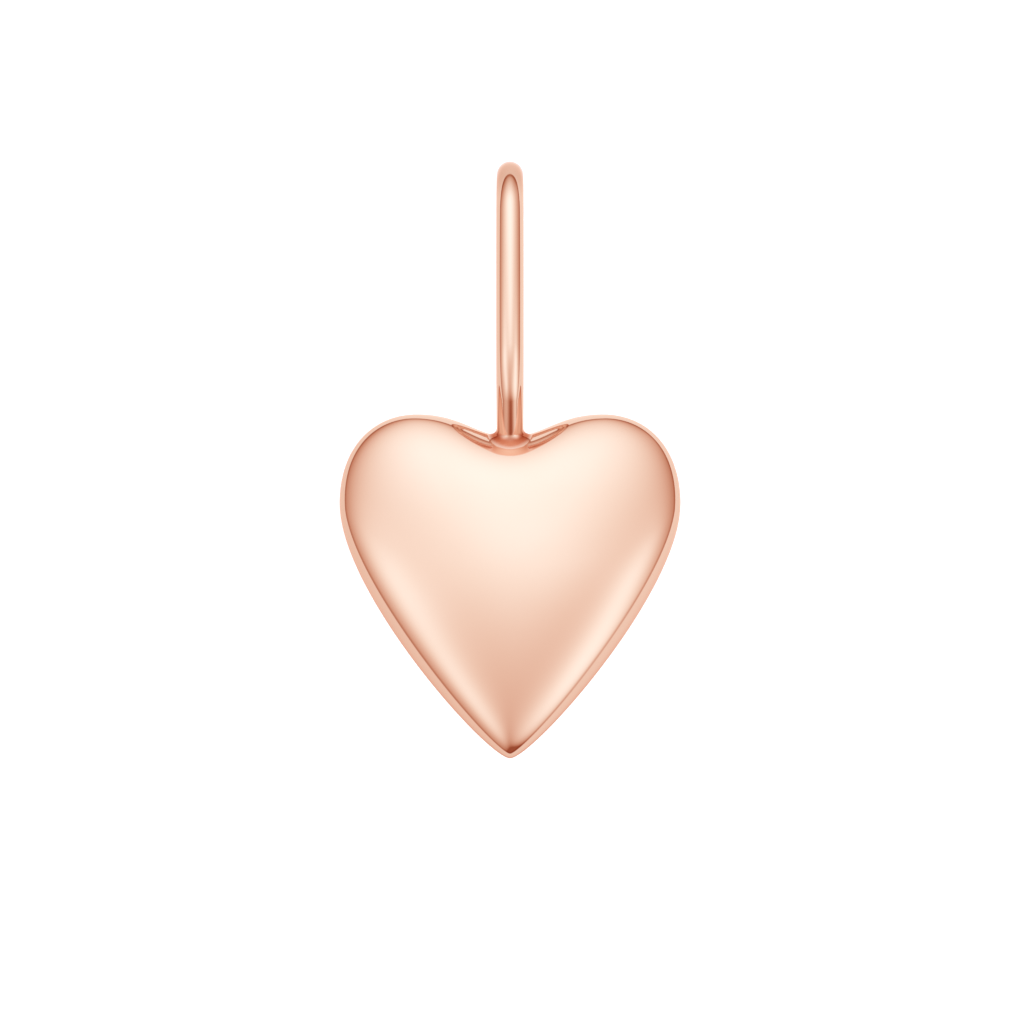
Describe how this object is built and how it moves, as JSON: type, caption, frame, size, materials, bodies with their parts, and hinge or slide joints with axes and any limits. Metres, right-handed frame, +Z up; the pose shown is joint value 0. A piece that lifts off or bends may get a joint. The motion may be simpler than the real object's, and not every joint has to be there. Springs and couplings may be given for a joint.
{
  "type": "heart charm pendant",
  "caption": "Puffed heart charm with a long upright wire loop at its cleft, cast in one piece of rose-gold plated metal, to hang on a chain or cord.",
  "frame": {"origin": "chain seat: the inside of the loop's top, on the loop's middle line, where a chain or cord bears as the charm hangs", "axes": "+Z up along the loop and the heart, towards the loop's top; +X across the heart, along the way a chain runs through the loop; -Y out of the heart's front"},
  "size_m": [0.0102, 0.0046, 0.018],
  "materials": {
    "rose_gold": "polished rose-gold plate"
  },
  "bodies": {
    "root": {"heart_charm": "rose_gold"}
  },
  "joints": []
}
